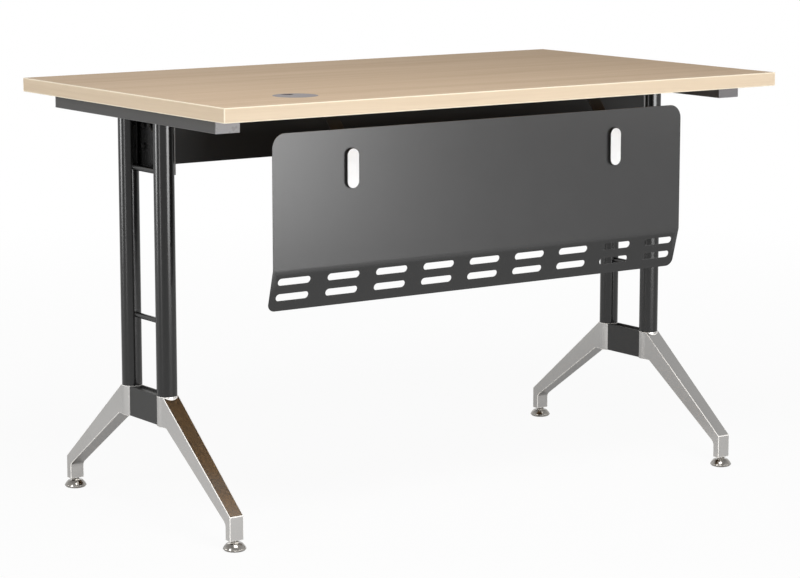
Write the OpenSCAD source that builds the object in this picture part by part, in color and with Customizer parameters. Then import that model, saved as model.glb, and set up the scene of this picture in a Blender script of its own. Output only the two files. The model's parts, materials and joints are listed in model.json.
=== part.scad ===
// Office desk: a laminated board on two twin-tube legs with splayed cast feet,
// a steel cable tray that joins the legs, and a folded steel modesty panel.
// Millimetres. The origin is on the floor under the middle of the desktop,
// +X runs along its length, +Z is up, and the front (panel side) is at -Y.

/* [Desktop] */
// Length of the desktop, from end to end
top_l = 1200; // [1100:10:1600]
// Depth of the desktop, front to rear
top_d = 700; // [640:10:800]
// Height of the work surface above the floor
top_h = 756; // [730:1:790]
// Thickness of the board
top_t = 25; // [22:1:30]
// Thickness of the edge band glued round the board
band_t = 2; // [1.5:0.5:3]
// Rounding of the band's upper and lower edges
band_r = 1; // [0.5:0.1:1.4]

/* [Cable grommet] */
// Diameter of the hole bored through the board
hole_d = 70; // [60:1:80]
// Distance of the hole's centre from the left end of the desktop
hole_end = 215; // [160:1:300]
// Distance of the hole's centre from the front edge of the desktop
hole_edge = 122; // [100:1:200]
// Width of the liner's flange outside the hole
liner_flange = 4; // [3:0.5:8]
// Thickness of the liner's flange, which is let into the board flush with its top
flange_t = 2.5; // [2.2:0.1:4]
// Wall of the liner's sleeve
liner_wall = 2.5; // [2:0.1:4]
// How far the sleeve stops short of the board's underside
liner_short = 3; // [1:0.5:8]
// Width of the seat that carries the lid
seat_w = 3; // [2.5:0.1:5]
// Thickness of the lid
lid_t = 2; // [1.6:0.1:2.1]
// Width of the cable notch in the lid and in the shutter
notch_w = 18; // [12:1:22]
// Distance from the lid's centre to the middle of the notch's round end
notch_reach = 22; // [19:1:24]
// Thickness of the shutter that turns under the lid
shutter_t = 2; // [1.5:0.1:3]
// Diameter of the lid's pivot boss
boss_d = 6; // [5:0.5:8]

/* [Support beams] */
// Distance from the desktop's end to the middle of the leg
leg_inset = 54; // [48:1:90]
// Width of the support beam under the board
beam_w = 47; // [44:1:60]
// How far the support beam's middle stands outboard of the uprights
beam_out = 3.5; // [0:0.5:3.5]
// Height of the support beam
beam_h = 25; // [20:1:35]
// Wall of the support beam
beam_wall = 1.5; // [1.2:0.1:2.5]
// Distance from the desktop's long edge to the beam's end
beam_inset = 72; // [50:1:100]
// Thickness of the end cap's face
cap_t = 2; // [1.5:0.5:3]
// How far the end cap's plug reaches into the beam
cap_plug = 12; // [8:1:18]
// Distance from the middle of the beam to its outer wood screws
beam_screw_y = 220; // [180:1:240]

/* [Uprights] */
// Outer diameter of the upright tubes
upright_d = 36; // [32:0.5:38]
// Wall of the upright tubes
upright_wall = 1.5; // [1.2:0.1:2]
// Distance between the two uprights of a leg, centre to centre
upright_pitch = 122; // [110:1:150]
// Diameter of the rungs between the uprights
rung_d = 10; // [8:0.5:12]
// Height of the lower rung above the floor
rung_low_h = 358; // [300:1:450]
// Distance of the upper rung below the support beam
rung_drop = 87; // [70:1:110]
// Thickness of the threaded plug welded inside each upright
plug_t = 10; // [8:1:14]

/* [Foot castings] */
// Height of the castings' top faces above the floor
cast_top = 230; // [215:1:260]
// Height of the casting's head
head_h = 54; // [46:1:64]
// How far the round head stands proud of the upright
head_proud = 0.3; // [0.2:0.1:1.5]
// Width of the blade where it leaves the head
blade_w = 32; // [30:0.5:35]
// Distance from the upright's centre to the start of the blade's sloping back
back_start = 12; // [5:0.5:12]
// Distance between the two glides of a leg, centre to centre
foot_pitch = 560; // [500:5:620]
// Width of the stub over the glide
stub_w = 27; // [22:0.5:30]
// Thickness of the stub, front to rear
stub_t = 15; // [13:0.5:18]
// Height of the stub's outer corner above the floor
knee_out_h = 60; // [56:1:75]
// Height of the stub's inner corner above the floor
knee_in_h = 46; // [40:1:50]
// Fillet in the inner corner of the knee
knee_r = 12; // [6:1:14]
// Distance from the upright's centre to the start of the sloping underside
under_start = 22; // [20:0.5:26]
// Height of the spigot that stands inside the upright
spigot_h = 26; // [20:1:32]
// Width of the block between the castings of a leg
block_w = 26; // [22:0.5:32]
// How far the block stays below the head's top and above its bottom
block_step = 0.5; // [0.5:0.5:3]
// Depth of the pocket in the block's top
pocket_depth = 4; // [2:0.5:6]
// Wall round the pocket in the block's top
pocket_wall = 3; // [2:0.5:5]

/* [Levelling glides] */
// Diameter of the glide's steel pad
pad_d = 40; // [36:1:46]
// Height of the pad
pad_h = 13.5; // [12:0.5:16]
// Height of the pad's sharp rim above the floor
pad_rim_h = 4; // [3:0.5:5.5]
// Diameter of the pad's flat top
pad_neck_d = 26; // [18:0.5:26]
// Diameter of the pad's lower edge, under the rim
pad_foot_d = 34; // [32:0.5:35]
// Diameter of the rubber sole
sole_d = 29; // [25:0.5:30]
// Thickness of the rubber sole
sole_t = 2; // [1.5:0.5:3]
// How far the sole stands out below the pad
sole_proud = 0.8; // [0.5:0.1:1.2]
// Diameter of the threaded stud
stud_d = 8; // [6:0.5:9]
// Height of the stud's top above the floor
stud_top_h = 46; // [40:1:48]
// Width across the flats of the stud's hexagon
hex_w = 13; // [12:0.5:14]
// Height of the stud's hexagon
hex_h = 3.5; // [2.5:0.5:5]
// Room left between the hexagon and the stub
screw_in = 1; // [0.5:0.5:3]

/* [Cable tray] */
// How far the tray and its end plates stand beyond the uprights' centres
plate_over = 3; // [2:0.5:12]
// Thickness of the end plates welded to the uprights
plate_t = 4; // [3:0.5:6]
// Height of the end plates
plate_h = 92; // [86:1:110]
// Height of the tray
tray_h = 73; // [60:1:80]
// Thickness of the tray's sheet
tray_t = 1.5; // [1:0.1:2.5]
// Width of the tray's inward lips
lip_w = 12; // [8:1:20]
// Radius of the cable notch in the end plates
cable_r = 25; // [18:0.5:26]
// Sideways distance of the tray bolts from the middle
tray_bolt_y = 34; // [33:0.5:36]
// Distance of the upper tray bolts below the tray's top
tray_bolt_drop = 14; // [12:1:20]
// Distance between the upper and the lower tray bolts
tray_bolt_pitch = 36; // [28:1:38]

/* [Modesty panel] */
// Length of the panel
panel_l = 900; // [700:10:960]
// Distance of the panel's face from the desktop's front edge
panel_inset = 93; // [80:1:110]
// Gap between the board and the panel's top edge
panel_drop = 34; // [26:1:50]
// Height of the panel's upright part
panel_h = 232; // [180:1:260]
// Depth of the folded lower part
apron_h = 76; // [70:1:90]
// Angle of the fold from the upright
fold_angle = 15; // [5:1:25]
// Thickness of the panel's sheet
panel_t = 1.5; // [1:0.1:2.5]
// Radius of the panel's upper corners
panel_r = 25; // [10:1:40]
// Radius of the panel's lower corners
apron_r = 14; // [8:1:20]
// Length of the vents in the folded part
vent_l = 66; // [40:1:80]
// Width of the vents
vent_w = 13; // [8:0.5:15]
// Distance from vent to vent along the panel
vent_pitch = 101; // [90:1:120]
// Distance of the upper row of vents below the fold
vent_row_1 = 22.5; // [16:0.5:26]
// Distance of the lower row of vents below the fold
vent_row_2 = 51; // [46:0.5:56]
// Least distance from a vent to the panel's side
vent_margin = 12; // [8:1:40]

/* [Panel hangers and covers] */
// Distance between the two hangers, centre to centre
hanger_pitch = 580; // [480:10:640]
// Width of the hanger strip
hanger_w = 28; // [20:1:34]
// Thickness of the hanger strip
hanger_t = 3; // [2:0.5:4]
// Slope of the hanger's arm from the level
hanger_slope = 48; // [40:1:60]
// Length of the hanger's foot under the board
hanger_foot = 48; // [40:1:70]
// Height of the hanger's bend above the middle of the cover
tab_up = 18; // [17.5:0.5:24]
// Reach of the hanger's tab below the middle of the cover
tab_down = 33; // [20:1:50]
// Distance between the two panel bolts of a hanger
panel_bolt_pitch = 20; // [16:1:20]
// Distance of the covers' centres below the panel's top edge
cover_drop = 68; // [58:1:90]
// Width of the covers over the panel bolts
cover_w = 25; // [22:0.5:34]
// Height of the covers over the panel bolts
cover_h = 69.5; // [50:0.5:80]
// How far the covers stand out from the panel
cover_rise = 5.5; // [5.5:0.5:8]
// Wall of the cover's body
cover_wall = 1.6; // [1.2:0.1:2.5]
// Rim of the body that shows round the cover's face
cover_rim = 0.8; // [0.6:0.1:1.2]
// Thickness of the cover's face
face_t = 0.8; // [0.5:0.1:1]

/* [Fasteners and fits] */
// Diameter of the wood screws
wood_d = 4.5; // [3.5:0.1:5]
// Depth of the wood screws in the board
wood_depth = 16; // [12:1:19]
// Diameter of the wood screws' heads
wood_head_d = 9; // [8:0.5:10]
// Height of the wood screws' heads
wood_head_h = 2.6; // [2:0.1:3.5]
// Diameter of the tray bolts and the panel bolts
small_d = 6; // [5:0.5:7]
// Diameter of the leg bolts and the tie rods
large_d = 8; // [6:0.5:9]
// Room round a pin or boss that turns in its bore
turn_fit = 0.05; // [0.03:0.01:0.09]
// Room round a fixed fastener in its hole
hole_fit = 0.3; // [0.1:0.1:0.5]
// Room between parts that slip into each other
slip_fit = 0.3; // [0.1:0.1:0.5]
// Gap left where a welded or cast face follows a tube
weld_gap = 0.1; // [0.05:0.05:0.3]

/* [Hidden] */
$fn = 72;

left = -1;
right = 1;
front = -1;
rear = 1;
sides = [left, right];
ends = [front, rear];
// A cutter runs this far past the face that it opens
past = 1;

// Levels, from the floor up
stub_z = pad_h + hex_h + screw_in;
head_z = cast_top - head_h;
board_z = top_h - top_t;
beam_z = board_z - beam_h;
tray_z = beam_z - tray_h;
panel_top = board_z - panel_drop;
fold_z = panel_top - panel_h;
cover_z = panel_top - cover_drop;

// Places across the desk
leg_x = top_l / 2 - leg_inset;
beam_x = leg_x + beam_out;
upright_y = upright_pitch / 2;
upright_r = upright_d / 2;
bore_r = upright_r - upright_wall;
foot_y = foot_pitch / 2;
foot_in = foot_y - stub_t / 2;
foot_out = foot_y + stub_t / 2;
head_r = upright_r + head_proud;
spigot_r = bore_r - slip_fit;
plug_z = cast_top + spigot_h + 4;
beam_l = top_d - 2 * beam_inset;
hole_x = -top_l / 2 + hole_end;
hole_y = -top_d / 2 + hole_edge;
plate_x = leg_x - upright_r - weld_gap;
plate_w = upright_pitch + 2 * plate_over;
tray_l = 2 * (plate_x - plate_t);
panel_y = -top_d / 2 + panel_inset;
back_y = panel_y + panel_t;

// Grommet radii, from the flange inwards
flange_r = hole_d / 2 + liner_flange;
sleeve_r = hole_d / 2 - slip_fit;
liner_r = sleeve_r - liner_wall;
rebate_r = liner_r + seat_w;
lid_r = rebate_r - slip_fit;
shutter_r = liner_r - 1;
lid_z = top_h - lid_t;
shutter_z = lid_z - shutter_t;
clip_t = 1;

// Bolt sizes that follow the thread
small_head_r = small_d * 0.85;
small_head_h = small_d * 0.5;
small_nut_w = small_d * 1.65;
small_nut_h = small_d * 0.8;
large_head_r = large_d * 0.8;
large_head_h = large_d;
vent_n = floor((panel_l - vent_l - 2 * vent_margin) / vent_pitch) + 1;

// Hanger profile, from the panel's back to the board
bend_z = cover_z + tab_up;
tab_z = cover_z - tab_down;
rise_z = board_z - bend_z;
run_y = rise_z / tan(hanger_slope);
foot_start_y = back_y + run_y;

// Outline helpers
module obround(length, width) {
    square([length - width, width], center = true);
    for (s = sides) translate([s * (length - width) / 2, 0]) circle(d = width);
}

// What a rounding of radius r takes off the corner at the origin of +X and +Y
module corner_waste(r) {
    difference() {
        translate([-past, -past]) square(r + past);
        translate([r, r]) circle(r);
    }
}

// Turns an outline drawn in Y and Z into a bar that runs along X
module along_x(length) {
    rotate([90, 0, 90]) linear_extrude(length, center = true) children();
}

module at_leg(side, end = rear) {
    translate([side * leg_x, 0, 0]) rotate([0, 0, end == rear ? 0 : 180]) children();
}

module hexagon(width, height) {
    cylinder(h = height, d = width / cos(30), $fn = 6);
}

// Desktop
module band_outline() {
    difference() {
        square([band_t, top_t]);
        translate([band_t, 0]) mirror([1, 0]) corner_waste(band_r);
        translate([band_t, top_t]) mirror([1, 0]) mirror([0, 1]) corner_waste(band_r);
    }
}

module wood_pilot() {
    translate([0, 0, -past]) cylinder(h = wood_depth + past, d = wood_d + 2 * weld_gap);
}

module desktop_board() {
    color("burlywood")
    difference() {
        translate([0, 0, board_z + top_t / 2])
            cube([top_l - 2 * band_t, top_d - 2 * band_t, top_t], center = true);
        translate([hole_x, hole_y, board_z - past]) cylinder(h = top_t + 2 * past, d = hole_d);
        translate([hole_x, hole_y, top_h - flange_t])
            cylinder(h = flange_t + past, r = flange_r + slip_fit);
        for (side = sides) {
            for (y = [-beam_screw_y, 0, beam_screw_y])
                translate([side * beam_x, y, board_z]) wood_pilot();
            for (y = hanger_screw_ys)
                translate([side * hanger_pitch / 2, y, board_z]) wood_pilot();
        }
    }
}

module edge_band_long(end) {
    color("wheat")
    rotate([0, 0, end == rear ? 0 : 180])
    difference() {
        translate([0, top_d / 2 - band_t, board_z]) along_x(top_l) band_outline();
        for (side = sides)
            translate([side * top_l / 2, top_d / 2, board_z - past])
                rotate([0, 0, side == right ? 180 : 270])
                linear_extrude(top_t + 2 * past) corner_waste(band_t * 0.9);
    }
}

module edge_band_short(side) {
    color("wheat")
    rotate([0, 0, side == right ? -90 : 90])
    translate([0, top_l / 2 - band_t, board_z])
        along_x(top_d - 2 * band_t) band_outline();
}

// Cable grommet
module notch_cutter() {
    translate([0, notch_reach, -past]) {
        cylinder(h = lid_t + shutter_t + 2 * past, d = notch_w);
        translate([-notch_w / 2, 0, 0]) cube([notch_w, lid_r, lid_t + shutter_t + 2 * past]);
    }
}

module grommet_liner() {
    color("gray")
    translate([hole_x, hole_y, 0])
    difference() {
        union() {
            translate([0, 0, board_z + liner_short])
                cylinder(h = top_t - liner_short - flange_t / 2, r = sleeve_r);
            translate([0, 0, top_h - flange_t]) cylinder(h = flange_t, r = flange_r);
        }
        translate([0, 0, board_z]) cylinder(h = top_t + past, r = liner_r);
        translate([0, 0, lid_z]) cylinder(h = lid_t + past, r = rebate_r);
    }
}

module grommet_lid() {
    color("dimgray")
    translate([hole_x, hole_y, lid_z]) {
        difference() {
            cylinder(h = lid_t, r = lid_r);
            notch_cutter();
        }
        translate([0, 0, -shutter_t - clip_t]) cylinder(h = shutter_t + clip_t + lid_t / 2, d = boss_d);
    }
}

module grommet_shutter() {
    color("gray")
    translate([hole_x, hole_y, shutter_z])
    difference() {
        cylinder(h = shutter_t, r = shutter_r);
        rotate([0, 0, 180]) notch_cutter();
        translate([0, 0, -past]) cylinder(h = shutter_t + 2 * past, d = boss_d + 2 * turn_fit);
    }
}

module grommet_clip() {
    color("silver")
    translate([hole_x, hole_y, shutter_z - clip_t])
    difference() {
        cylinder(h = clip_t, d = boss_d * 2);
        translate([0, 0, -past]) cylinder(h = clip_t + 2 * past, d = boss_d + 2 * turn_fit);
    }
}

// Support beams
module support_beam(side) {
    color("dimgray")
    translate([side * beam_x, 0, beam_z + beam_h / 2])
    difference() {
        cube([beam_w, beam_l - 2 * cap_t, beam_h], center = true);
        cube([beam_w - 2 * beam_wall, beam_l + past, beam_h - 2 * beam_wall], center = true);
        for (y = [-beam_screw_y, 0, beam_screw_y]) translate([0, y, 0]) {
            cylinder(h = beam_h, d = wood_d + 2 * hole_fit);
            translate([0, 0, -beam_h]) cylinder(h = beam_h, d = wood_head_d + 4);
        }
    }
}

module beam_cap(side, end) {
    color("darkgray")
    translate([side * beam_out, 0, 0])
    at_leg(side, end)
    translate([0, beam_l / 2 - cap_t, beam_z + beam_h / 2]) {
        translate([0, cap_t / 2, 0]) cube([beam_w, cap_t, beam_h], center = true);
        translate([0, -cap_plug / 2, 0])
            cube([beam_w - 2 * beam_wall - slip_fit, cap_plug, beam_h - 2 * beam_wall - slip_fit],
                 center = true);
    }
}

// A wood screw that points up, with its head's seat at z = 0
module wood_screw(length) {
    tip = wood_d;
    cylinder(h = length - tip, d = wood_d);
    translate([0, 0, length - tip]) cylinder(h = tip, d1 = wood_d, d2 = 0.8);
    difference() {
        translate([0, 0, -wood_head_h]) cylinder(h = wood_head_h, d = wood_head_d);
        for (a = [0, 90]) rotate([0, 0, a])
            translate([0, 0, -wood_head_h]) cube([wood_head_d * 0.55, 1, wood_head_h], center = true);
    }
}

module beam_screws() {
    color("silver")
    for (side = sides, y = [-beam_screw_y, 0, beam_screw_y])
        translate([side * beam_x, y, board_z - beam_wall]) wood_screw(wood_depth + beam_wall - 1);
}

// Uprights and rungs
module upright(side, end) {
    color("dimgray")
    at_leg(side, end)
    translate([0, upright_y, cast_top])
    difference() {
        cylinder(h = beam_z - cast_top, r = upright_r);
        translate([0, 0, -past]) cylinder(h = beam_z - cast_top + 2 * past, r = bore_r);
    }
}

module upright_plugs() {
    color("gray")
    for (side = sides, end = ends) at_leg(side, end)
        translate([0, upright_y, plug_z])
        difference() {
            cylinder(h = plug_t, r = bore_r - weld_gap);
            translate([0, 0, -past]) cylinder(h = plug_t + 2 * past, d = large_d + 2 * weld_gap);
        }
}

module rung(side, height) {
    color("dimgray")
    translate([side * leg_x, 0, height])
    difference() {
        rotate([90, 0, 0]) cylinder(h = upright_pitch - upright_r, d = rung_d, center = true);
        for (end = ends)
            translate([0, end * upright_y, -rung_d]) cylinder(h = 2 * rung_d, r = upright_r + weld_gap);
    }
}

// Foot castings
// The arm from the side: head, sloping back and underside, and the stub, with an arc in the knee
module foot_outline() {
    slope = atan2(head_z - knee_in_h, foot_in - (upright_y + under_start));
    centre = [foot_in, knee_in_h] - knee_r * [1, tan((90 - slope) / 2)];
    difference() {
        polygon([
            [upright_y, head_z],
            [upright_y, cast_top],
            [upright_y + back_start, cast_top],
            [foot_out, knee_out_h],
            [foot_out, stub_z],
            [foot_in, stub_z],
            centre + [knee_r, 0],
            centre,
            centre + knee_r * [sin(slope), cos(slope)],
            [upright_y + under_start, head_z]
        ]);
        translate(centre) circle(knee_r);
    }
}

module blade_plan() {
    polygon([
        [-blade_w / 2, upright_y],
        [blade_w / 2, upright_y],
        [stub_w / 2, foot_in],
        [stub_w / 2, foot_out + past],
        [-stub_w / 2, foot_out + past],
        [-stub_w / 2, foot_in]
    ]);
}

module tie_rod_places() {
    for (z = [head_z + head_h * 0.28, head_z + head_h * 0.72]) translate([0, 0, z]) children();
}

rod_half = upright_y - large_d;

module foot_casting(side, end) {
    color("silver")
    at_leg(side, end)
    difference() {
        union() {
            translate([0, upright_y, head_z]) cylinder(h = head_h, r = head_r);
            translate([0, upright_y, head_z]) cylinder(h = head_h + spigot_h, r = spigot_r);
            intersection() {
                along_x(2 * head_r) foot_outline();
                linear_extrude(top_h) blade_plan();
            }
        }
        translate([0, upright_y, head_z - past]) {
            cylinder(h = head_h + spigot_h + 2 * past, d = large_d + 2 * hole_fit);
            cylinder(h = large_head_h + past + 1, r = large_head_r + hole_fit);
        }
        translate([0, foot_y, stub_z - past])
            cylinder(h = stud_top_h - stub_z + screw_in + 4 + past, d = stud_d + 2 * turn_fit);
        tie_rod_places() rotate([-90, 0, 0]) cylinder(h = rod_half + 1, d = large_d + 2 * hole_fit);
    }
}

module foot_block(side) {
    color("dimgray")
    translate([side * leg_x, 0, head_z + block_step])
    difference() {
        translate([-block_w / 2, -upright_y, 0]) cube([block_w, upright_pitch, head_h - 2 * block_step]);
        for (end = ends)
            translate([0, end * upright_y, -past]) cylinder(h = head_h + past, r = head_r + weld_gap);
        translate([0, 0, head_h - 2 * block_step - pocket_depth])
            linear_extrude(pocket_depth + past) difference() {
                square([block_w - 2 * pocket_wall, upright_pitch], center = true);
                for (end = ends) translate([0, end * upright_y]) circle(head_r + weld_gap + pocket_wall);
            }
        translate([0, 0, -head_z - block_step]) tie_rod_places()
            rotate([90, 0, 0]) cylinder(h = upright_pitch, d = large_d + 2 * hole_fit, center = true);
    }
}

module tie_rods() {
    color("silver")
    for (side = sides) translate([side * leg_x, 0, 0]) tie_rod_places()
        rotate([90, 0, 0]) cylinder(h = 2 * rod_half, d = large_d, center = true);
}

module leg_bolts() {
    color("silver")
    for (side = sides, end = ends) at_leg(side, end)
        translate([0, upright_y, head_z + 1])
        difference() {
            union() {
                cylinder(h = large_head_h, r = large_head_r);
                cylinder(h = plug_z + plug_t + 2 - head_z, d = large_d);
            }
            translate([0, 0, -past]) hexagon(large_d * 0.75, large_head_h * 0.5 + past);
        }
}

// Levelling glides
module pad_outline() {
    polygon([
        [0, sole_proud],
        [pad_foot_d / 2, sole_proud],
        [pad_d / 2, pad_rim_h - 0.4],
        [pad_d / 2, pad_rim_h],
        [pad_neck_d / 2, pad_h],
        [0, pad_h]
    ]);
}

module pad(side, end) {
    color("silver")
    at_leg(side, end)
    translate([0, foot_y, 0])
    difference() {
        rotate_extrude() pad_outline();
        translate([0, 0, -past]) cylinder(h = sole_t + past, d = sole_d + slip_fit);
        translate([0, 0, sole_t + 2]) cylinder(h = pad_h, d = stud_d + 2 * turn_fit);
    }
}

module sole(side, end) {
    color("black")
    at_leg(side, end)
    translate([0, foot_y, 0]) cylinder(h = sole_t, d = sole_d);
}

module stud(side, end) {
    color("silver")
    at_leg(side, end)
    translate([0, foot_y, 0]) {
        translate([0, 0, sole_t + 2]) cylinder(h = stud_top_h - sole_t - 3, d = stud_d);
        translate([0, 0, stud_top_h - 1]) cylinder(h = 1, d1 = stud_d, d2 = stud_d - 2);
        translate([0, 0, pad_h]) hexagon(hex_w, hex_h);
    }
}

// Cable tray and its end plates
module tray_bolt_places() {
    for (y = [-tray_bolt_y, tray_bolt_y], z = [0, tray_bolt_pitch])
        translate([0, y, beam_z - tray_bolt_drop - z]) children();
}

module tray_bolt_holes() {
    tray_bolt_places() rotate([0, 90, 0])
        cylinder(h = 4 * (plate_t + tray_t), d = small_d + 2 * hole_fit, center = true);
}

module cable_notch() {
    translate([0, 0, beam_z]) rotate([0, 90, 0])
        cylinder(h = 4 * (plate_t + tray_t), r = cable_r, center = true);
}

module end_plate(side) {
    color("dimgray")
    difference() {
        translate([side * (plate_x - plate_t / 2), 0, beam_z - plate_h / 2])
            cube([plate_t, plate_w, plate_h], center = true);
        translate([side * plate_x, 0, 0]) {
            tray_bolt_holes();
            cable_notch();
        }
    }
}

module cable_tray() {
    color([0.12, 0.12, 0.12])
    difference() {
        translate([0, 0, tray_z + tray_h / 2])
            cube([tray_l, plate_w, tray_h], center = true);
        translate([0, 0, tray_z + tray_h / 2])
            cube([tray_l - 2 * tray_t, plate_w - 2 * tray_t, tray_h - 2 * tray_t], center = true);
        translate([0, 0, beam_z])
            cube([tray_l - 2 * tray_t, plate_w - 2 * (tray_t + lip_w), 4 * tray_t], center = true);
        for (side = sides) translate([side * tray_l / 2, 0, 0]) {
            tray_bolt_holes();
            cable_notch();
        }
    }
}

// A bolt round the Z axis that points up, with its head's seat at z = 0
module small_bolt(grip) {
    difference() {
        union() {
            translate([0, 0, -small_head_h]) cylinder(h = small_head_h, r = small_head_r);
            cylinder(h = grip + small_nut_h + 1.5, d = small_d);
        }
        translate([0, 0, -small_head_h - past]) hexagon(small_d * 0.66, small_head_h * 0.6 + past);
    }
}

module tray_bolts() {
    color("silver")
    for (side = sides) translate([side * (tray_l / 2 - tray_t), 0, 0])
        tray_bolt_places() rotate([0, side * 90, 0]) small_bolt(tray_t + plate_t);
}

// A nut round the Z axis that stands on z = 0
module small_nut() {
    difference() {
        hexagon(small_nut_w, small_nut_h);
        translate([0, 0, -past]) cylinder(h = small_nut_h + 2 * past, d = small_d + 2 * weld_gap);
    }
}

module tray_nuts() {
    color("silver")
    for (side = sides) translate([side * plate_x, 0, 0])
        tray_bolt_places() rotate([0, side * 90, 0]) small_nut();
}

// Modesty panel
module panel_profile() {
    inner_fold = [back_y, fold_z + panel_t * tan(fold_angle / 2)];
    out = [sin(fold_angle), -cos(fold_angle)];
    face = [cos(fold_angle), sin(fold_angle)];
    foot = [panel_y, fold_z] + apron_h * out;
    polygon([
        [panel_y, panel_top],
        [panel_y, fold_z],
        foot,
        foot + panel_t * face,
        inner_fold,
        [back_y, panel_top]
    ]);
}

// Places a child drawn on the XZ plane onto the folded part, with z = 0 at the fold
module on_apron() {
    translate([0, panel_y, fold_z]) rotate([fold_angle, 0, 0]) children();
}

// Runs an outline drawn in X and Z through the sheet
module through_sheet() {
    rotate([90, 0, 0]) linear_extrude(12 * panel_t, center = true) children();
}

module panel_bolt_places() {
    for (side = sides, z = [-panel_bolt_pitch / 2, panel_bolt_pitch / 2])
        translate([side * hanger_pitch / 2, 0, cover_z + z]) rotate([-90, 0, 0]) children();
}

module panel_bolt_holes() {
    translate([0, back_y, 0]) panel_bolt_places()
        cylinder(h = 4 * (panel_t + hanger_t), d = small_d + 2 * hole_fit, center = true);
}

module modesty_panel() {
    color("gray")
    difference() {
        along_x(panel_l) panel_profile();
        panel_bolt_holes();
        for (side = sides) {
            translate([side * panel_l / 2, panel_y, panel_top])
                through_sheet() rotate([0, 0, side == right ? 180 : 270]) corner_waste(panel_r);
            on_apron() translate([side * panel_l / 2, 0, -apron_h])
                through_sheet() rotate([0, 0, side == right ? 90 : 0]) corner_waste(apron_r);
        }
        on_apron() for (i = [0 : vent_n - 1], row = [vent_row_1, vent_row_2])
            translate([(i - (vent_n - 1) / 2) * vent_pitch, 0, -row])
                through_sheet() obround(vent_l, vent_w);
    }
}

// Panel hangers and covers
module hanger_profile() {
    crook = hanger_t * tan(hanger_slope / 2);
    elbow = hanger_t * tan((90 - hanger_slope) / 2);
    polygon([
        [back_y, tab_z],
        [back_y, bend_z],
        [foot_start_y, board_z],
        [foot_start_y + hanger_foot, board_z],
        [foot_start_y + hanger_foot, board_z - hanger_t],
        [foot_start_y + crook, board_z - hanger_t],
        [back_y + hanger_t, bend_z - elbow],
        [back_y + hanger_t, tab_z]
    ]);
}

hanger_screw_ys = [foot_start_y + hanger_foot * 0.3, foot_start_y + hanger_foot * 0.78];

module hanger(side) {
    color("dimgray")
    difference() {
        translate([side * hanger_pitch / 2, 0, 0]) along_x(hanger_w) hanger_profile();
        panel_bolt_holes();
        for (y = hanger_screw_ys) translate([side * hanger_pitch / 2, y, board_z])
            cylinder(h = 4 * hanger_t, d = wood_d + 2 * hole_fit, center = true);
    }
}

module hanger_screws() {
    color("silver")
    for (side = sides, y = hanger_screw_ys)
        translate([side * hanger_pitch / 2, y, board_z - hanger_t])
        wood_screw(wood_depth + hanger_t - 1);
}

module panel_bolts() {
    color("silver")
    translate([0, panel_y, 0]) panel_bolt_places() small_bolt(panel_t + hanger_t);
}

module panel_nuts() {
    color("silver")
    translate([0, back_y + hanger_t, 0]) panel_bolt_places() small_nut();
}

// Places a child on the front of a cover, with z = 0 on the panel and +Z to the front
module at_cover(side) {
    translate([side * hanger_pitch / 2, panel_y, cover_z]) rotate([90, 90, 0]) children();
}

module cover(side) {
    cavity_h = cover_rise - 2 * face_t;
    color("black")
    at_cover(side)
    difference() {
        linear_extrude(cover_rise) obround(cover_h, cover_w);
        translate([0, 0, -past]) linear_extrude(cavity_h + past)
            obround(cover_h - 2 * cover_wall, cover_w - 2 * cover_wall);
        translate([0, 0, cover_rise - face_t]) linear_extrude(face_t + past)
            obround(cover_h - 2 * cover_rim, cover_w - 2 * cover_rim);
    }
}

module cover_face(side) {
    color("whitesmoke")
    at_cover(side)
    translate([0, 0, cover_rise - face_t]) linear_extrude(face_t)
        obround(cover_h - 2 * (cover_rim + weld_gap), cover_w - 2 * (cover_rim + weld_gap));
}

desktop_board();
edge_band_long(front);  // edge_band_front
edge_band_long(rear);  // edge_band_rear
edge_band_short(left);  // edge_band_left
edge_band_short(right);  // edge_band_right
grommet_liner();
grommet_lid();
grommet_shutter();
grommet_clip();
support_beam(left);  // support_beam_left
support_beam(right);  // support_beam_right
beam_cap(left, front);  // beam_cap_left_front
beam_cap(left, rear);  // beam_cap_left_rear
beam_cap(right, front);  // beam_cap_right_front
beam_cap(right, rear);  // beam_cap_right_rear
beam_screws();
upright(left, front);  // upright_left_front
upright(left, rear);  // upright_left_rear
upright(right, front);  // upright_right_front
upright(right, rear);  // upright_right_rear
upright_plugs();
rung(left, beam_z - rung_drop);  // rung_left_upper
rung(left, rung_low_h);  // rung_left_lower
rung(right, beam_z - rung_drop);  // rung_right_upper
rung(right, rung_low_h);  // rung_right_lower
foot_casting(left, front);  // foot_left_front
foot_casting(left, rear);  // foot_left_rear
foot_casting(right, front);  // foot_right_front
foot_casting(right, rear);  // foot_right_rear
foot_block(left);  // foot_block_left
foot_block(right);  // foot_block_right
leg_bolts();
tie_rods();
pad(left, front);  // pad_left_front
pad(left, rear);  // pad_left_rear
pad(right, front);  // pad_right_front
pad(right, rear);  // pad_right_rear
sole(left, front);  // sole_left_front
sole(left, rear);  // sole_left_rear
sole(right, front);  // sole_right_front
sole(right, rear);  // sole_right_rear
stud(left, front);  // stud_left_front
stud(left, rear);  // stud_left_rear
stud(right, front);  // stud_right_front
stud(right, rear);  // stud_right_rear
cable_tray();
end_plate(left);  // end_plate_left
end_plate(right);  // end_plate_right
tray_bolts();
tray_nuts();
modesty_panel();
hanger(left);  // hanger_left
hanger(right);  // hanger_right
hanger_screws();
panel_bolts();
panel_nuts();
cover(left);  // cover_left
cover(right);  // cover_right
cover_face(left);  // cover_face_left
cover_face(right);  // cover_face_right
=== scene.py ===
import json
import math

import bmesh
import bpy
from mathutils import Matrix, Vector

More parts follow.
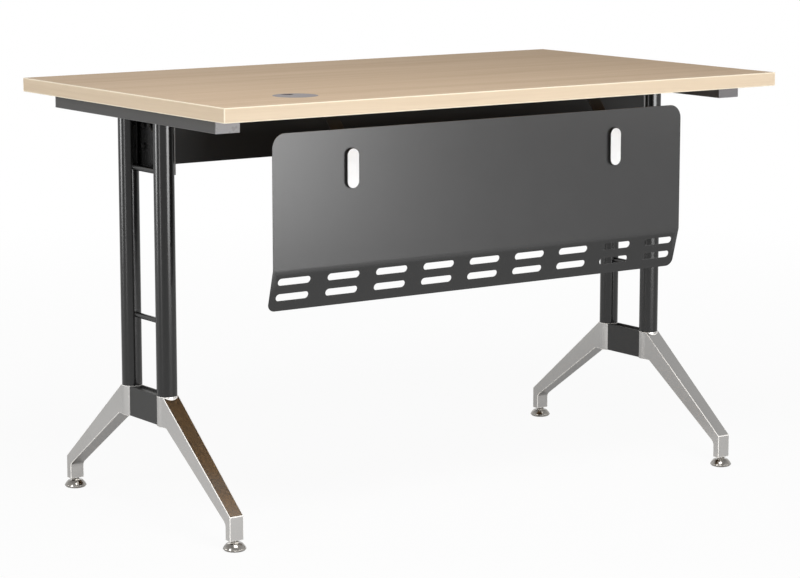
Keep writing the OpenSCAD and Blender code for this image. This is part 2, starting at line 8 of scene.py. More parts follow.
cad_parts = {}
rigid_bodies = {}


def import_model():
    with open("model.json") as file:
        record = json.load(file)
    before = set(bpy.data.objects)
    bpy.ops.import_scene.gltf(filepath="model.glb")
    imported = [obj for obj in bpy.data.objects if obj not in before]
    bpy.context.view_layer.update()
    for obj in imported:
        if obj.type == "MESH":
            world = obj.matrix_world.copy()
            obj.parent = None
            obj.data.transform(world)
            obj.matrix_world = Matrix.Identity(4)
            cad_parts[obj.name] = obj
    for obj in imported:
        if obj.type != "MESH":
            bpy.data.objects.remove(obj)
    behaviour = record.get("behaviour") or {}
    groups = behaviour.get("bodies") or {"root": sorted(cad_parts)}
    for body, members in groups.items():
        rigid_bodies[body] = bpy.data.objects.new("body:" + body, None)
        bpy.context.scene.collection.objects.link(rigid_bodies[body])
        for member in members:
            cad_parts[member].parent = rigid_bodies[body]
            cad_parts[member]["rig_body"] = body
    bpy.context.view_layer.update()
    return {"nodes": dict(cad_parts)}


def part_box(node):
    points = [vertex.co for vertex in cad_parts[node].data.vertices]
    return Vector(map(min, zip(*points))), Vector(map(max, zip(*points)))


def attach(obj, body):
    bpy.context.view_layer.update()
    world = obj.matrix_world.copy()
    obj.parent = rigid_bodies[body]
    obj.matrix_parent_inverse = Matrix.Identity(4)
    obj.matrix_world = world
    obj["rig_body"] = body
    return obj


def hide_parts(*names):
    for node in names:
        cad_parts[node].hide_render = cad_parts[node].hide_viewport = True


# The desk as it was packed: one mesh for each piece, in metres, with the front (panel side) at -Y.
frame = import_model()
nodes = frame["nodes"]

# Camera: a long lens that stands in front of the desk's left end and looks along its length,
# a little down, as the photograph does.
camera_place = (-2.8588, -4.0507, 1.1780)
camera_turn = math.radians(35.136)
camera_dip = math.radians(-9.403)
camera_lens = 121.37

camera_data = bpy.data.cameras.new("photo_camera")
camera_data.sensor_width = 36
camera_data.lens = camera_lens
camera = bpy.data.objects.new("photo_camera", camera_data)
across = Vector((math.cos(camera_turn), -math.sin(camera_turn), 0))
ahead = Vector((
    math.sin(camera_turn) * math.cos(camera_dip),
    math.cos(camera_turn) * math.cos(camera_dip),
    math.sin(camera_dip),
))
camera.matrix_world = Matrix.Translation(camera_place) @ Matrix(
    (across, across.cross(ahead), -ahead)
).transposed().to_4x4()
bpy.context.scene.collection.objects.link(camera)
bpy.context.scene.camera = camera


# Desktop board: chipboard faced on both sides with a printed wood laminate, its grain along the desk.
# The grain is long soft bands, finer streaks and short dark pores, and the face is satin.
laminate_light = (0.655, 0.500, 0.352, 1)
laminate_dark = (0.532, 0.388, 0.258, 1)
underside_tone = (1.06, 0.86, 0.60)
laminate_roughness = 0.60
laminate_contrast = 1.5
print_specular = 0.03
print_relief = 0.00002


def add(tree, kind, sockets, **settings):
    """One shader node: its own settings, and a value or another node's output for each socket."""
    node = tree.nodes.new(kind)
    for key, value in settings.items():
        setattr(node, key, value)
    for key, value in sockets.items():
        if isinstance(value, bpy.types.NodeSocket):
            tree.links.new(value, node.inputs[key])
        else:
            node.inputs[key].default_value = value
    return node


def maths(tree, operation, *values):
    """One Math node and its output."""
    return add(tree, "ShaderNodeMath", dict(enumerate(values)), operation=operation).outputs[0]


def ramp(tree, value, low, high):
    """0 below low, 1 above high and a smooth rise between them."""
    sockets = {"Value": value, "From Min": low, "From Max": high}
    return add(tree, "ShaderNodeMapRange", sockets, interpolation_type="SMOOTHSTEP").outputs[0]


def blend_colors(tree, amount, first, second):
    """Two colours mixed by amount."""
    node = add(tree, "ShaderNodeMix", {0: amount, 6: first, 7: second}, data_type="RGBA", blend_type="MIX")
    return node.outputs[2]


def stretched(tree, place, sizes):
    """A place divided by one size, or by a size along each axis for a texture longer one way."""
    factors = tuple(1 / size for size in (sizes if isinstance(sizes, tuple) else (sizes,) * 3))
    return add(tree, "ShaderNodeVectorMath", {0: place, 1: factors}, operation="MULTIPLY").outputs[0]


def noise(tree, place, detail, roughness=0.5):
    """Smooth noise, about one wave for each unit of place."""
    sockets = {"Vector": place, "Scale": 1.0, "Detail": detail, "Roughness": roughness}
    return add(tree, "ShaderNodeTexNoise", sockets).outputs[0]


def effect(name, inputs, outputs):
    """An empty node group with named sockets; returns it with its input and output nodes."""
    tree = bpy.data.node_groups.new(name, "ShaderNodeTree")
    for label, kind in inputs:
        tree.interface.new_socket(label, in_out="INPUT", socket_type="NodeSocket" + kind)
    for label, kind in outputs:
        tree.interface.new_socket(label, in_out="OUTPUT", socket_type="NodeSocket" + kind)
    return tree, tree.nodes.new("NodeGroupInput").outputs, tree.nodes.new("NodeGroupOutput").inputs


def material(name, **fixed):
    """A new material with one Principled shader and the fixed values of its sockets."""
    made = bpy.data.materials.new(name)
    made.use_nodes = True
    tree = made.node_tree
    shader = tree.nodes["Principled BSDF"]
    for key, value in fixed.items():
        shader.inputs[key.replace("_", " ")].default_value = value
    return made, tree, shader


def here(tree):
    """The place of a surface point on the desk, in metres."""
    return tree.nodes.new("ShaderNodeTexCoord").outputs["Object"]


def facing(tree, axis):
    """How much a face looks along an axis of the desk, from -1 to 1."""
    normal = add(tree, "ShaderNodeNewGeometry", {}).outputs["Normal"]
    return add(tree, "ShaderNodeSeparateXYZ", {0: normal}).outputs[axis]


def feed(tree, shader, color=None, roughness=None, height=None, depth=0.0001):
    """Joins a colour, a roughness and a bump height to the shader."""
    if color is not None:
        tree.links.new(color, shader.inputs["Base Color"])
    if roughness is not None:
        tree.links.new(roughness, shader.inputs["Roughness"])
    if height is not None:
        bump = add(tree, "ShaderNodeBump", {"Height": height, "Distance": depth, "Strength": 1.0})
        tree.links.new(bump.outputs[0], shader.inputs["Normal"])


def dress(made, *names):
    """Gives a material to CAD pieces."""
    for name in names:
        nodes[name].data.materials.clear()
        nodes[name].data.materials.append(made)


# The printed grain: bands bent by a slow sway, finer streaks, threads and dark pores. Place has X along
# the grain and Y across it, and the sizes are in metres.
wood_grain, given, out = effect(
    "wood_grain",
    [("Place", "Vector"), ("Light", "Color"), ("Dark", "Color"), ("Contrast", "Float")],
    [("Color", "Color"), ("Height", "Float"), ("Roughness", "Float")],
)
sway_size = (0.55, 0.16, 0.16)
sway_width = 0.030
band_size = (1.10, 0.034, 0.060)
streak_size = (0.30, 0.0052, 0.012)
thread_size = (0.060, 0.0011, 0.003)
pore_size = (0.012, 0.0006, 0.002)
band_weight, streak_weight, thread_weight = 0.9, 0.8, 0.35
figure_middle = 1.025
pore_low, pore_high = 0.62, 0.74
pore_share = 0.30
streak_sheen = 0.10
sway = noise(wood_grain, stretched(wood_grain, given["Place"], sway_size), 2)
split = add(wood_grain, "ShaderNodeSeparateXYZ", {0: given["Place"]}).outputs
swayed = maths(wood_grain, "MULTIPLY_ADD", sway, sway_width, split[1])
line = add(wood_grain, "ShaderNodeCombineXYZ", {0: split[0], 1: swayed, 2: split[2]}).outputs[0]
bands = noise(wood_grain, stretched(wood_grain, line, band_size), 3, 0.55)
streaks = noise(wood_grain, stretched(wood_grain, line, streak_size), 4, 0.65)
threads = noise(wood_grain, stretched(wood_grain, line, thread_size), 2, 0.6)
pores = noise(wood_grain, stretched(wood_grain, line, pore_size), 1)
figure = maths(wood_grain, "MULTIPLY", streaks, streak_weight)
figure = maths(wood_grain, "MULTIPLY_ADD", bands, band_weight, figure)
figure = maths(wood_grain, "MULTIPLY_ADD", threads, thread_weight, figure)
figure = maths(wood_grain, "SUBTRACT", figure, figure_middle)
figure = maths(wood_grain, "MULTIPLY_ADD", figure, given["Contrast"], 0.5)
dots = ramp(wood_grain, pores, pore_low, pore_high)
tone = blend_colors(wood_grain, figure, given["Light"], given["Dark"])
tone = blend_colors(wood_grain, maths(wood_grain, "MULTIPLY", dots, pore_share), tone, given["Dark"])
wood_grain.links.new(tone, out["Color"])
wood_grain.links.new(maths(wood_grain, "SUBTRACT", threads, dots), out["Height"])
sheen = maths(wood_grain, "MULTIPLY_ADD", streaks, streak_sheen, -streak_sheen / 2)
wood_grain.links.new(sheen, out["Roughness"])


def wood_print(name, light, dark, contrast, along, roughness):
    """A printed wood surface whose grain runs along X or Y."""
    made, tree, shader = material(name, Roughness=roughness, Specular_IOR_Level=print_specular)
    place = here(tree)
    if along == "Y":
        parts = add(tree, "ShaderNodeSeparateXYZ", {0: place}).outputs
        place = add(tree, "ShaderNodeCombineXYZ", {0: parts[1], 1: parts[2], 2: parts[0]}).outputs[0]
    elif along == "X on edge":
        parts = add(tree, "ShaderNodeSeparateXYZ", {0: place}).outputs
        place = add(tree, "ShaderNodeCombineXYZ", {0: parts[0], 1: parts[2], 2: parts[1]}).outputs[0]
    grain = add(tree, "ShaderNodeGroup", {}, node_tree=wood_grain)
    tree.links.new(place, grain.inputs["Place"])
    for key, value in {"Light": light, "Dark": dark, "Contrast": contrast}.items():
        grain.inputs[key].default_value = value
    rough = maths(tree, "ADD", grain.outputs["Roughness"], roughness)
    feed(tree, shader, grain.outputs["Color"], rough, grain.outputs["Height"], print_relief)
    return made, tree, shader, grain.outputs["Color"]


board, tree, shader, tone = wood_print(
    "wood_laminate", laminate_light, laminate_dark, laminate_contrast, "X", laminate_roughness
)
# The backing sheet on the underside is a browner print
browner = add(tree, "ShaderNodeVectorMath", {0: tone, 1: underside_tone}, operation="MULTIPLY").outputs[0]
upward = ramp(tree, facing(tree, 2), -0.5, 0.5)
tree.links.new(blend_colors(tree, upward, browner, tone), shader.inputs["Base Color"])
dress(board, "desktop_board")


# Edge bands: a 2 mm strip of pale wood-print plastic, glued round the board and rounded along its edges.
# A painted highlight lightens the rounded arrises, paler than the print.
band_light = (0.748, 0.618, 0.462, 1)
band_dark = (0.655, 0.523, 0.377, 1)
band_highlight_paint = (0.960, 0.870, 0.700, 1)
band_low, band_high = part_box("edge_band_front")
band_roughness = 0.38
long_contrast = 1.1
short_contrast = 1.3
arris_reach = 0.0022
arris_core = 0.35
band_highlight_share = 0.85


def paint_band_highlight(tree, shader, tone, end=None):
    """Paints a highlight on a band along its upper and lower arris and at its two ends, if their X is given.
    """
    parts = add(tree, "ShaderNodeSeparateXYZ", {0: here(tree)}).outputs
    above = maths(tree, "SUBTRACT", band_high.z, parts[2])
    below = maths(tree, "SUBTRACT", parts[2], band_low.z)
    inside = maths(tree, "MINIMUM", above, below)
    if end:
        ending = maths(tree, "SUBTRACT", end, maths(tree, "ABSOLUTE", parts[0]))
        inside = maths(tree, "MINIMUM", inside, ending)
    band_highlight_mask = maths(tree, "SUBTRACT", 1.0, ramp(tree, inside, arris_reach * arris_core, arris_reach))
    mixed = blend_colors(tree, maths(tree, "MULTIPLY", band_highlight_mask, band_highlight_share), tone, band_highlight_paint)
    tree.links.new(mixed, shader.inputs["Base Color"])


long_band, tree, shader, tone = wood_print(
    "edge_band_long", band_light, band_dark, long_contrast, "X on edge", band_roughness
)
paint_band_highlight(tree, shader, tone, band_high.x)
dress(long_band, "edge_band_front", "edge_band_rear")
short_band, tree, shader, tone = wood_print(
    "edge_band_short", band_light, band_dark, short_contrast, "Y", band_roughness
)
paint_band_highlight(tree, shader, tone)
dress(short_band, "edge_band_left", "edge_band_right")


# Cable grommet: a moulded liner let into the board, a lid that turns in it and a shutter under the lid.
# Grey plastic with a fine spark-eroded texture, softened at the edges of the moulding.
grommet_grey = (0.150, 0.128, 0.130, 1)
shutter_grey = (0.110, 0.100, 0.102, 1)
lid_roughness = 0.45
shutter_roughness = 0.5
moulding_edge = 0.0003

# A moulded face: a low-contrast mottle, a fine texture and a painted highlight on its arrises
mottle_size = 0.018
mottle_swing, mottle_least = 0.12, 0.94
mottle_sheen = 0.04
plastic_highlight_gain = 1.7
plastic_highlight_share = 0.6
moulded, given, out = effect(
    "moulded_plastic",
    [("Place", "Vector"), ("Tint", "Color"), ("Grain", "Float"), ("Arris", "Float")],
    [("Color", "Color"), ("Height", "Float"), ("Roughness", "Float")],
)
fine = add(moulded, "ShaderNodeVectorMath", {0: given["Place"], 3: given["Grain"]}, operation="SCALE")
texture = noise(moulded, fine.outputs[0], 2, 0.6)
mottle = noise(moulded, stretched(moulded, given["Place"], mottle_size), 2)
shade = maths(moulded, "MULTIPLY_ADD", mottle, mottle_swing, mottle_least)
tone = add(moulded, "ShaderNodeVectorMath", {0: given["Tint"], 3: shade}, operation="SCALE").outputs[0]
plastic_highlight_tone = add(moulded, "ShaderNodeVectorMath", {0: tone, 3: plastic_highlight_gain}, operation="SCALE").outputs[0]
tone = blend_colors(moulded, maths(moulded, "MULTIPLY", given["Arris"], plastic_highlight_share), tone, plastic_highlight_tone)
moulded.links.new(tone, out["Color"])
moulded.links.new(texture, out["Height"])
sheen = maths(moulded, "MULTIPLY_ADD", mottle, mottle_sheen, -mottle_sheen / 2)
moulded.links.new(sheen, out["Roughness"])

same_point = 2e-6
flat_angle = math.radians(0.4)
corner_angle = math.radians(35)
crease_angle = math.radians(34)
shortest_edge = 0.8


def round_edges(node, width):
    """A copy of a CAD piece with its sharp edges rounded. The new faces carry 1 in the attribute arris."""
    mesh = bmesh.new()
    mesh.from_mesh(nodes[node].data)
    bmesh.ops.remove_doubles(mesh, verts=mesh.verts, dist=same_point)
    bmesh.ops.dissolve_limit(mesh, angle_limit=flat_angle, verts=mesh.verts, edges=mesh.edges)
    sharp = [
        edge for edge in mesh.edges
        if edge.calc_face_angle() > corner_angle and edge.calc_length() > shortest_edge * width
    ]
    arris = mesh.faces.layers.float.new("arris")
    rounded = bmesh.ops.bevel(
        mesh, geom=sharp, offset=width, segments=2, profile=0.5, affect="EDGES", clamp_overlap=False
    )
    for face in mesh.faces:
        face.smooth = True
        face[arris] = 0
    for face in rounded["faces"]:
        face[arris] = 1
    data = bpy.data.meshes.new(node + "_rounded")
    mesh.to_mesh(data)
    mesh.free()
    data.set_sharp_from_angle(angle=crease_angle)
    piece = bpy.data.objects.new(node + "_rounded", data)
    bpy.context.scene.collection.objects.link(piece)
    weighted = piece.modifiers.new("flat_faces_stay_flat", "WEIGHTED_NORMAL")
    weighted.keep_sharp = True
    weighted.weight = 100
    return piece


def stand_in(piece, node, made):
    """Puts a piece in the place of a CAD node, on the same body, in that finish."""
    piece.data.materials.clear()
    piece.data.materials.append(made)
    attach(piece, nodes[node]["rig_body"])
    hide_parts(node)


def arris_mask(tree):
    """1 on rounded edges."""
    return add(tree, "ShaderNodeAttribute", {}, attribute_name="arris").outputs["Fac"]


def plastic(name, tint, roughness, grain=1800.0, depth=0.00003, gloss=0.45):
    """A moulded plastic of one colour, with so many waves of texture to the metre."""
    made, tree, shader = material(name, Roughness=roughness, Specular_IOR_Level=gloss)
    group = add(tree, "ShaderNodeGroup", {}, node_tree=moulded)
    tree.links.new(here(tree), group.inputs["Place"])
    tree.links.new(arris_mask(tree), group.inputs["Arris"])
    group.inputs["Tint"].default_value = tint
    group.inputs["Grain"].default_value = grain
    rough = maths(tree, "ADD", group.outputs["Roughness"], roughness)
    feed(tree, shader, group.outputs["Color"], rough, group.outputs["Height"], depth)
    return made


grommet_plastic = plastic("grommet_plastic", grommet_grey, lid_roughness)
for node in ["grommet_liner", "grommet_lid"]:
    stand_in(round_edges(node, moulding_edge), node, grommet_plastic)
dress(plastic("shutter_plastic", shutter_grey, shutter_roughness), "grommet_shutter")


# Support beams: a rectangular steel tube under each end of the board, screwed to it and welded to the
# uprights. Dark grey powder coat, with a painted highlight on the tube's rounded corners.
coat_grey = (0.063, 0.063, 0.062, 1)
coat_roughness = 0.42
coat_gloss = 0.35
beam_corner = 0.0012

# Powder coat: a fine orange peel with a faint mottle, and a painted highlight on rounded edges
peel_size = 0.0011
peel_relief = 0.00006
cloud_size = 0.045
cloud_swing, cloud_least = 0.06, 0.955
cloud_sheen = 0.02
coat_highlight_gain = 2.2
coat_highlight_share = 0.7
powder, given, out = effect(
    "powder_coat",
    [("Place", "Vector"), ("Tint", "Color"), ("Peel", "Float"), ("Arris", "Float")],
    [("Color", "Color"), ("Height", "Float"), ("Roughness", "Float")],
)
peel = noise(powder, stretched(powder, given["Place"], peel_size), 2)
cloud = noise(powder, stretched(powder, given["Place"], cloud_size), 3)
level = maths(powder, "MULTIPLY_ADD", cloud, cloud_swing, cloud_least)
tone = add(powder, "ShaderNodeVectorMath", {0: given["Tint"], 3: level}, operation="SCALE").outputs[0]
coat_highlight_tone = add(powder, "ShaderNodeVectorMath", {0: tone, 3: coat_highlight_gain}, operation="SCALE").outputs[0]
tone = blend_colors(powder, maths(powder, "MULTIPLY", given["Arris"], coat_highlight_share), tone, coat_highlight_tone)
powder.links.new(tone, out["Color"])
powder.links.new(maths(powder, "MULTIPLY", peel, given["Peel"]), out["Height"])
sheen = maths(powder, "MULTIPLY_ADD", cloud, cloud_sheen, -cloud_sheen / 2)
powder.links.new(sheen, out["Roughness"])


def coated(name, tint, roughness, gloss, peel_depth=1.0):
    """Powder-coated steel of one colour, smooth where the peel's depth is 0."""
    made, tree, shader = material(name, Roughness=roughness, Specular_IOR_Level=gloss)
    group = add(tree, "ShaderNodeGroup", {}, node_tree=powder)
    tree.links.new(here(tree), group.inputs["Place"])
    tree.links.new(arris_mask(tree), group.inputs["Arris"])
    group.inputs["Tint"].default_value = tint
    group.inputs["Peel"].default_value = peel_depth
    rough = maths(tree, "ADD", group.outputs["Roughness"], roughness)
    feed(tree, shader, group.outputs["Color"], rough, group.outputs["Height"], peel_relief)
    return made


def coat_apart(made, mask, tint):
    """Gives powder-coated steel another tint where the mask is 1."""
    tree = made.node_tree
    group = next(node for node in tree.nodes if node.type == "GROUP")
    usual = tuple(group.inputs["Tint"].default_value)
    tree.links.new(blend_colors(tree, mask, usual, tint), group.inputs["Tint"])


leg_coat = coated("leg_powder_coat", coat_grey, coat_roughness, coat_gloss)
for node in ["support_beam_left", "support_beam_right"]:
    stand_in(round_edges(node, beam_corner), node, leg_coat)


# Beam caps: a push-in moulding that closes each end of the tubes, in a grey plastic whose lightness is
# partly painted light.
# A plug grips the tube's walls inside, and the flange has the tube's own outline.
cap_grey_and_painted_light = (0.185, 0.185, 0.196, 1)
cap_roughness = 0.28
cap_corner = 0.0007

cap_plastic = plastic("cap_plastic", cap_grey_and_painted_light, cap_roughness)
for side in ["left", "right"]:
    for end in ["front", "rear"]:
        node = f"beam_cap_{side}_{end}"
        stand_in(round_edges(node, cap_corner), node, cap_plastic)


# Fasteners: zinc-plated screws, bolts, nuts, rods and threaded plugs, with the plate's faint cloud.
# They hold the beams, the legs, the hangers, the panel and the grommet, mostly out of sight.
zinc_tone = (0.560, 0.565, 0.560, 1)
zinc_warm = (0.600, 0.580, 0.520, 1)
zinc_cloud = 0.006
zinc_scratch = (0.0006, 0.0006, 0.004)
zinc_relief = 0.00002
oxide_rub = 0.003
oxide_dark = (0.030, 0.030, 0.031, 1)
oxide_worn = (0.060, 0.059, 0.057, 1)

zinc, tree, shader = material("zinc_plate", Metallic=1.0, Roughness=0.32)
place = here(tree)
cloud = noise(tree, stretched(tree, place, zinc_cloud), 3)
scratch = noise(tree, stretched(tree, place, zinc_scratch), 2)
tone = blend_colors(tree, ramp(tree, cloud, 0.35, 0.65), zinc_tone, zinc_warm)
rough = maths(tree, "MULTIPLY_ADD", scratch, 0.18, 0.24)
feed(tree, shader, tone, rough, scratch, zinc_relief)
dress(
    zinc, "beam_screws", "upright_plugs", "leg_bolts", "tie_rods", "hanger_screws", "panel_bolts",
    "panel_nuts", "grommet_clip",
)

# The tray's bolts and nuts are blackened, to go with the plates
oxide, tree, shader = material("black_oxide", Metallic=1.0, Roughness=0.5)
rub = noise(tree, stretched(tree, here(tree), oxide_rub), 3)
tone = blend_colors(tree, ramp(tree, rub, 0.4, 0.7), oxide_dark, oxide_worn)
feed(tree, shader, tone, maths(tree, "MULTIPLY_ADD", rub, 0.2, 0.4), rub, zinc_relief)
dress(oxide, "tray_bolts", "tray_nuts")


# Legs: two round steel tubes a side, joined by two round rungs and welded under the support beam.
# A smooth, glossy and darker coat than the beams', so that the tubes carry long stripes of light.
tube_black = (0.006, 0.006, 0.0058, 1)
tube_roughness = 0.19
tube_gloss = 0.62

tube_coat = coated("tube_powder_coat", tube_black, tube_roughness, tube_gloss, 0.0)
dress(
    tube_coat,
    "upright_left_front", "upright_left_rear", "upright_right_front", "upright_right_rear",
    "rung_left_upper", "rung_left_lower", "rung_right_upper", "rung_right_lower",
)


# Foot castings: each leg stands on two splayed arms, die-cast, polished on the flats, duller below and
# lacquered, with painted shade on the faces that look down. Their edges are broken by hand and carry a
# painted highlight. A dark block with a pocket in its top spaces a pair.
cast_tone = (0.612, 0.602, 0.587, 1)
cast_shade = (0.562, 0.553, 0.538, 1)
cast_painted_highlight = (0.850, 0.835, 0.810, 1)
cast_painted_underside_shade = (0.350, 0.343, 0.333, 1)
cast_cloud = 0.030
cast_roughness = 0.135
cloud_duller = 0.08
below_duller = 0.12
arris_duller = 0.55
cast_highlight_share = 0.9
cast_edge = 0.0011
block_edge = 0.0008
block_black = (0.027, 0.027, 0.026, 1)
block_roughness = 0.5
block_gloss = 0.4

casting, tree, shader = material("polished_casting", Metallic=1.0, Roughness=0.2)
place = here(tree)
cloud = noise(tree, stretched(tree, place, cast_cloud), 3)
tone = blend_colors(tree, cloud, cast_tone, cast_shade)
# Faces that look down get painted shade and a duller finish.
underside_dull_and_shade = ramp(tree, maths(tree, "MULTIPLY", facing(tree, 2), -1.0), 0.30, 0.50)
tone = blend_colors(tree, underside_dull_and_shade, tone, cast_painted_underside_shade)
# Rounded edges get a painted highlight.
tone = blend_colors(tree, maths(tree, "MULTIPLY", arris_mask(tree), cast_highlight_share), tone, cast_painted_highlight)
rough = maths(tree, "MULTIPLY_ADD", cloud, cloud_duller, cast_roughness)
rough = maths(tree, "MULTIPLY_ADD", underside_dull_and_shade, below_duller, rough)
rough = maths(tree, "MULTIPLY_ADD", arris_mask(tree), arris_duller, rough)
feed(tree, shader, tone, rough)
block_coat = coated("block_powder_coat", block_black, block_roughness, block_gloss)
for side in ["left", "right"]:
    for end in ["front", "rear"]:
        node = f"foot_{side}_{end}"
        stand_in(round_edges(node, cast_edge), node, casting)
    node = f"foot_block_{side}"
    stand_in(round_edges(node, block_edge), node, block_coat)


# Levelling glides: a pressed cone in dark nickel with a sharp rim, a rubber sole in its mouth and a
# threaded stud that screws up into the casting.
neck = 0.0130
edge = 0.0170
rim_height = 0.0040
lip = 0.0006
edge_break = 0.0003
cone_steps = 12
cone_swell = 0.0005
stud_clear = 0.0042
wall = 0.0015
gap = 0.0002
nickel_tone = (0.270, 0.255, 0.235, 1)
nickel_pale = (0.380, 0.362, 0.335, 1)
rubber_black = (0.016, 0.016, 0.016, 1)
rubber_dusty = (0.035, 0.034, 0.032, 1)
nickel_haze = 0.009
haze_swing, haze_least = 0.14, 0.12
sole_dust = 0.004

nickel, tree, shader = material("dark_nickel", Metallic=1.0, Roughness=0.2)
haze = noise(tree, stretched(tree, here(tree), nickel_haze), 3)
tone = blend_colors(tree, ramp(tree, haze, 0.3, 0.7), nickel_tone, nickel_pale)
feed(tree, shader, tone, maths(tree, "MULTIPLY_ADD", haze, haze_swing, haze_least))
rubber, tree, shader = material("sole_rubber", Roughness=0.8, Specular_IOR_Level=0.3)
dust = noise(tree, stretched(tree, here(tree), sole_dust), 4, 0.6)
feed(tree, shader, blend_colors(tree, dust, rubber_black, rubber_dusty), None, dust)


def turned(name, outline, centre, around=72):
    """A closed solid turned from an outline of radius and height round a vertical axis."""
    mesh = bmesh.new()
    rings = []
    for radius, height in outline:
        ring = []
        for step in range(around):
            angle = 2 * math.pi * step / around
            ring.append(mesh.verts.new((
                centre.x + radius * math.cos(angle), centre.y + radius * math.sin(angle), height
            )))
        rings.append(ring)
    for first, second in zip(rings, rings[1:] + rings[:1]):
        for step in range(around):
            after = (step + 1) % around
            mesh.faces.new((first[step], first[after], second[after], second[step]))
    for face in mesh.faces:
        face.smooth = True
    bmesh.ops.recalc_face_normals(mesh, faces=mesh.faces)
    data = bpy.data.meshes.new(name)
    mesh.to_mesh(data)
    mesh.free()
    data.set_sharp_from_angle(angle=math.radians(40))
    piece = bpy.data.objects.new(name, data)
    bpy.context.scene.collection.objects.link(piece)
    return piece


for side in ["left", "right"]:
    for end in ["front", "rear"]:
        corner = f"{side}_{end}"
        low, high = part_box("pad_" + corner)
        sole_low, sole_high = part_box("sole_" + corner)
        centre = (low + high) / 2
        rim = (high.x - low.x) / 2
        sole_seat = (sole_high.x - sole_low.x) / 2 + gap
        outline = [(sole_seat + wall, low.z), (edge, low.z), (edge + lip, low.z + edge_break)]
        outline += [(rim - lip, rim_height - 0.0008), (rim, rim_height - 0.0002), (rim, rim_height)]
        outline += [(rim - 0.0004, rim_height + 0.0004)]
        for step in range(1, cone_steps):
            share = step / cone_steps
            swell = cone_swell * math.sin(math.pi * share)
            outline.append((
                rim + (neck - rim) * share + swell, rim_height + (high.z - rim_height) * share + swell
            ))
        outline += [(neck + 0.0005, high.z - 0.0004), (neck - edge_break, high.z)]
        outline += [(stud_clear, high.z), (stud_clear, sole_high.z + 0.0005), (sole_seat, sole_high.z + gap)]
        outline += [(sole_seat, low.z)]
        stand_in(turned("cone_" + corner, outline, centre), "pad_" + corner, nickel)
        dress(nickel, "stud_" + corner)
        dress(rubber, "sole_" + corner)


# Cable tray: a sheet channel folded from thin steel and coated black, open along its top between two
# lips, and bolted to an end plate on each leg. The plates wear the legs' coat, with a painted highlight on
# their cut edges.
tray_tone = (0.0210, 0.0210, 0.0210, 1)
tray_roughness = 0.62
tray_gloss = 0.22
plate_black = (0.016, 0.016, 0.016, 1)
plate_edge_highlight = (0.150, 0.150, 0.148, 1)
plate_roughness = 0.26
plate_peel = 0.3
plate_gloss = 0.6
sheet_edge = 0.0003
plate_round = 0.0006

tray_coat = coated("tray_powder_coat", tray_tone, tray_roughness, tray_gloss)
stand_in(round_edges("cable_tray", sheet_edge), "cable_tray", tray_coat)
plate_coat = coated("plate_powder_coat", plate_black, plate_roughness, plate_gloss, plate_peel)
tree = plate_coat.node_tree
# Faces that don't look along X, the plates' edges, get a painted highlight.
sideways = maths(tree, "ABSOLUTE", facing(tree, 0))
coat_apart(plate_coat, maths(tree, "SUBTRACT", 1.0, ramp(tree, sideways, 0.2, 0.6)), plate_edge_highlight)
for node in ["end_plate_left", "end_plate_right"]:
    stand_in(round_edges(node, plate_round), node, plate_coat)


# Modesty panel: one steel sheet, punched with two rows of slots and folded back along its foot.
# Grey powder coat with a satin sheen and painted shade below the fold; the cut edges carry a painted
# highlight.
panel_grey = (0.028, 0.028, 0.028, 1)
apron_painted_shade = (0.010, 0.010, 0.010, 1)
panel_roughness = 0.25
panel_gloss = 0.66

panel_coat = coated("panel_powder_coat", panel_grey, panel_roughness, panel_gloss, 0.0)
tree = panel_coat.node_tree
# Faces that tilt from upright, the apron below the fold among them, get painted shade.
tilt = maths(tree, "ABSOLUTE", facing(tree, 2))
coat_apart(panel_coat, ramp(tree, tilt, 0.1, 0.2), apron_painted_shade)
stand_in(round_edges("modesty_panel", sheet_edge), "modesty_panel", panel_coat)


# Hangers: a folded steel strap behind each end of the panel, with a foot screwed up into the board and
# a flat that takes the panel's bolts. Coated black like the plates, and mostly hidden.
hanger_black = (0.014, 0.014, 0.014, 1)
hanger_roughness = 0.45
hanger_round = 0.0006

hanger_coat = coated("hanger_powder_coat", hanger_black, hanger_roughness, coat_gloss)
for node in ["hanger_left", "hanger_right"]:
    stand_in(round_edges(node, hanger_round), node, hanger_coat)


# Bolt covers: a long round-ended cap over each pair of panel bolts, with a black body that snaps on
# and a satin white face let into its front.
body_black = (0.022, 0.022, 0.022, 1)
face_white = (0.940, 0.940, 0.940, 1)
body_roughness = 0.4
face_roughness = 0.3
face_grain = 900.0
face_relief = 0.00001

cover_plastic = plastic("cover_body_plastic", body_black, body_roughness)
face_plastic = plastic("cover_face_plastic", face_white, face_roughness, face_grain, face_relief)
for side in ["left", "right"]:
    stand_in(round_edges("cover_" + side, moulding_edge), "cover_" + side, cover_plastic)
    dress(face_plastic, "cover_face_" + side)


# Studio: a pale floor and a white surround, with broad soft lamps. The floor and the surround look
# white to the camera and in reflections, and light the desk more gently than they look.
floor_tone = (0.80, 0.80, 0.80, 1)
floor_glow = 0.94
floor_mirrored = 0.40
glow_start = 1.0
glow_end = 3.5
surround_light = 0.21
ceiling_grey = 0.50
ceiling_start = 0.25
ceiling_end = 0.80
floor_reach = 14

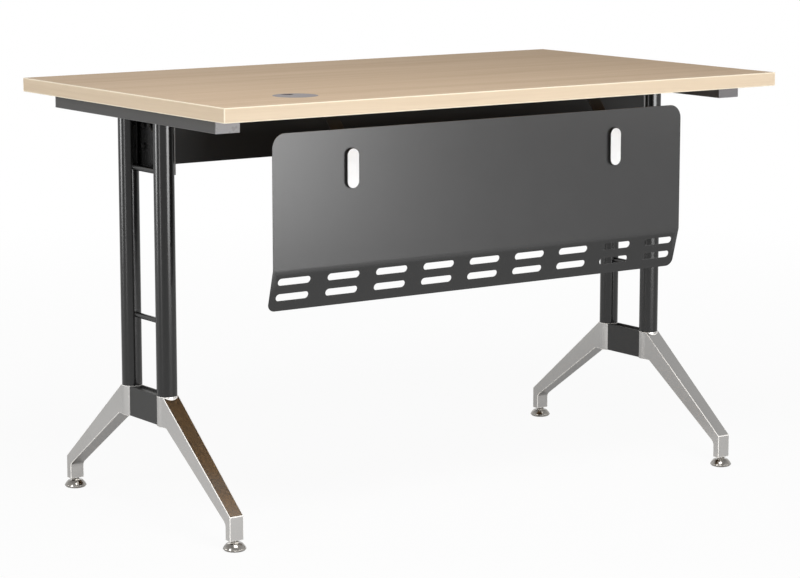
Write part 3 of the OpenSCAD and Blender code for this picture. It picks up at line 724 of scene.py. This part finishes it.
floor_data = bpy.data.meshes.new("studio_floor")
corners = [(-1, -1), (1, -1), (1, 1), (-1, 1)]
floor_data.from_pydata([(x * floor_reach, y * floor_reach, 0) for x, y in corners], [], [(0, 1, 2, 3)])
floor = bpy.data.objects.new("studio_floor", floor_data)
bpy.context.scene.collection.objects.link(floor)
paper, tree, shader = material("studio_paper", Roughness=0.9, Specular_IOR_Level=0.0)
shader.inputs["Base Color"].default_value = floor_tone
rays = add(tree, "ShaderNodeLightPath", {}).outputs
mirrored = maths(tree, "MAXIMUM", rays["Is Glossy Ray"], rays["Is Transmission Ray"])
seen = maths(tree, "MAXIMUM", rays["Is Camera Ray"], maths(tree, "MULTIPLY", mirrored, floor_mirrored))
glow = add(tree, "ShaderNodeEmission", {"Color": (1, 1, 1, 1), "Strength": 1.0}).outputs[0]
distance = add(tree, "ShaderNodeVectorMath", {0: here(tree)}, operation="LENGTH").outputs["Value"]
glowing = add(tree, "ShaderNodeMapRange", {
    "Value": distance, "From Min": glow_start, "From Max": glow_end, "To Min": floor_glow, "To Max": 1.0,
}).outputs[0]
share = maths(tree, "MULTIPLY", seen, glowing)
surface = add(tree, "ShaderNodeMixShader", {0: share, 1: shader.outputs[0], 2: glow}).outputs[0]
tree.links.new(surface, tree.nodes["Material Output"].inputs["Surface"])
floor_data.materials.append(paper)

world = bpy.data.worlds.new("studio_surround")
world.use_nodes = True
tree = world.node_tree
rays = add(tree, "ShaderNodeLightPath", {}).outputs
seen = maths(tree, "MAXIMUM", rays["Is Camera Ray"], rays["Is Glossy Ray"])
seen = maths(tree, "MAXIMUM", seen, rays["Is Transmission Ray"])
direction = tree.nodes.new("ShaderNodeTexCoord").outputs["Generated"]
height = add(tree, "ShaderNodeSeparateXYZ", {0: direction}).outputs[2]
ceiling = add(tree, "ShaderNodeMapRange", {
    "Value": height, "From Min": ceiling_start, "From Max": ceiling_end,
    "To Min": 1.0, "To Max": ceiling_grey,
}).outputs[0]
strength = add(tree, "ShaderNodeMapRange", {"Value": seen, "To Min": surround_light, "To Max": ceiling})
tree.links.new(strength.outputs[0], tree.nodes["Background"].inputs["Strength"])
tree.nodes["Background"].inputs["Color"].default_value = (1, 1, 1, 1)
bpy.context.scene.world = world


def softbox(name, place, aim, width, height, watts):
    """A rectangular lamp at a place in the studio, turned to face another."""
    lamp = bpy.data.lights.new(name, "AREA")
    lamp.shape = "RECTANGLE"
    lamp.size = width
    lamp.size_y = height
    lamp.energy = watts
    placed = bpy.data.objects.new(name, lamp)
    away = Vector(place) - Vector(aim)
    placed.matrix_world = Matrix.Translation(place) @ away.to_track_quat("Z", "Y").to_matrix().to_4x4()
    bpy.context.scene.collection.objects.link(placed)


softbox("high_key", (-0.60, -1.25, 2.50), (0, 0, 0.75), 1.2, 1.0, 34)
softbox("rear_fill", (0.90, 3.40, 2.00), (0, 0, 0.70), 1.4, 0.9, 7)
softbox("front_panel", (0.78, -3.63, 0.52), (0.78, 0, 0.52), 2.16, 1.0, 62)
softbox("rear_left_panel", (-4.05, 2.20, 0.50), (0, 0, 0.50), 1.3, 0.95, 32)
softbox("left_strip", (-3.55, -0.75, 0.45), (0, 0, 0.45), 0.45, 0.9, 5.5)
softbox("left_panel", (-3.20, -0.60, 1.60), (-0.30, 0, 0.60), 1.0, 0.9, 26)
softbox("right_panel", (3.40, -3.40, 0.85), (0.30, 0, 0.60), 1.1, 0.9, 7)

bpy.context.scene.view_settings.view_transform = "Standard"
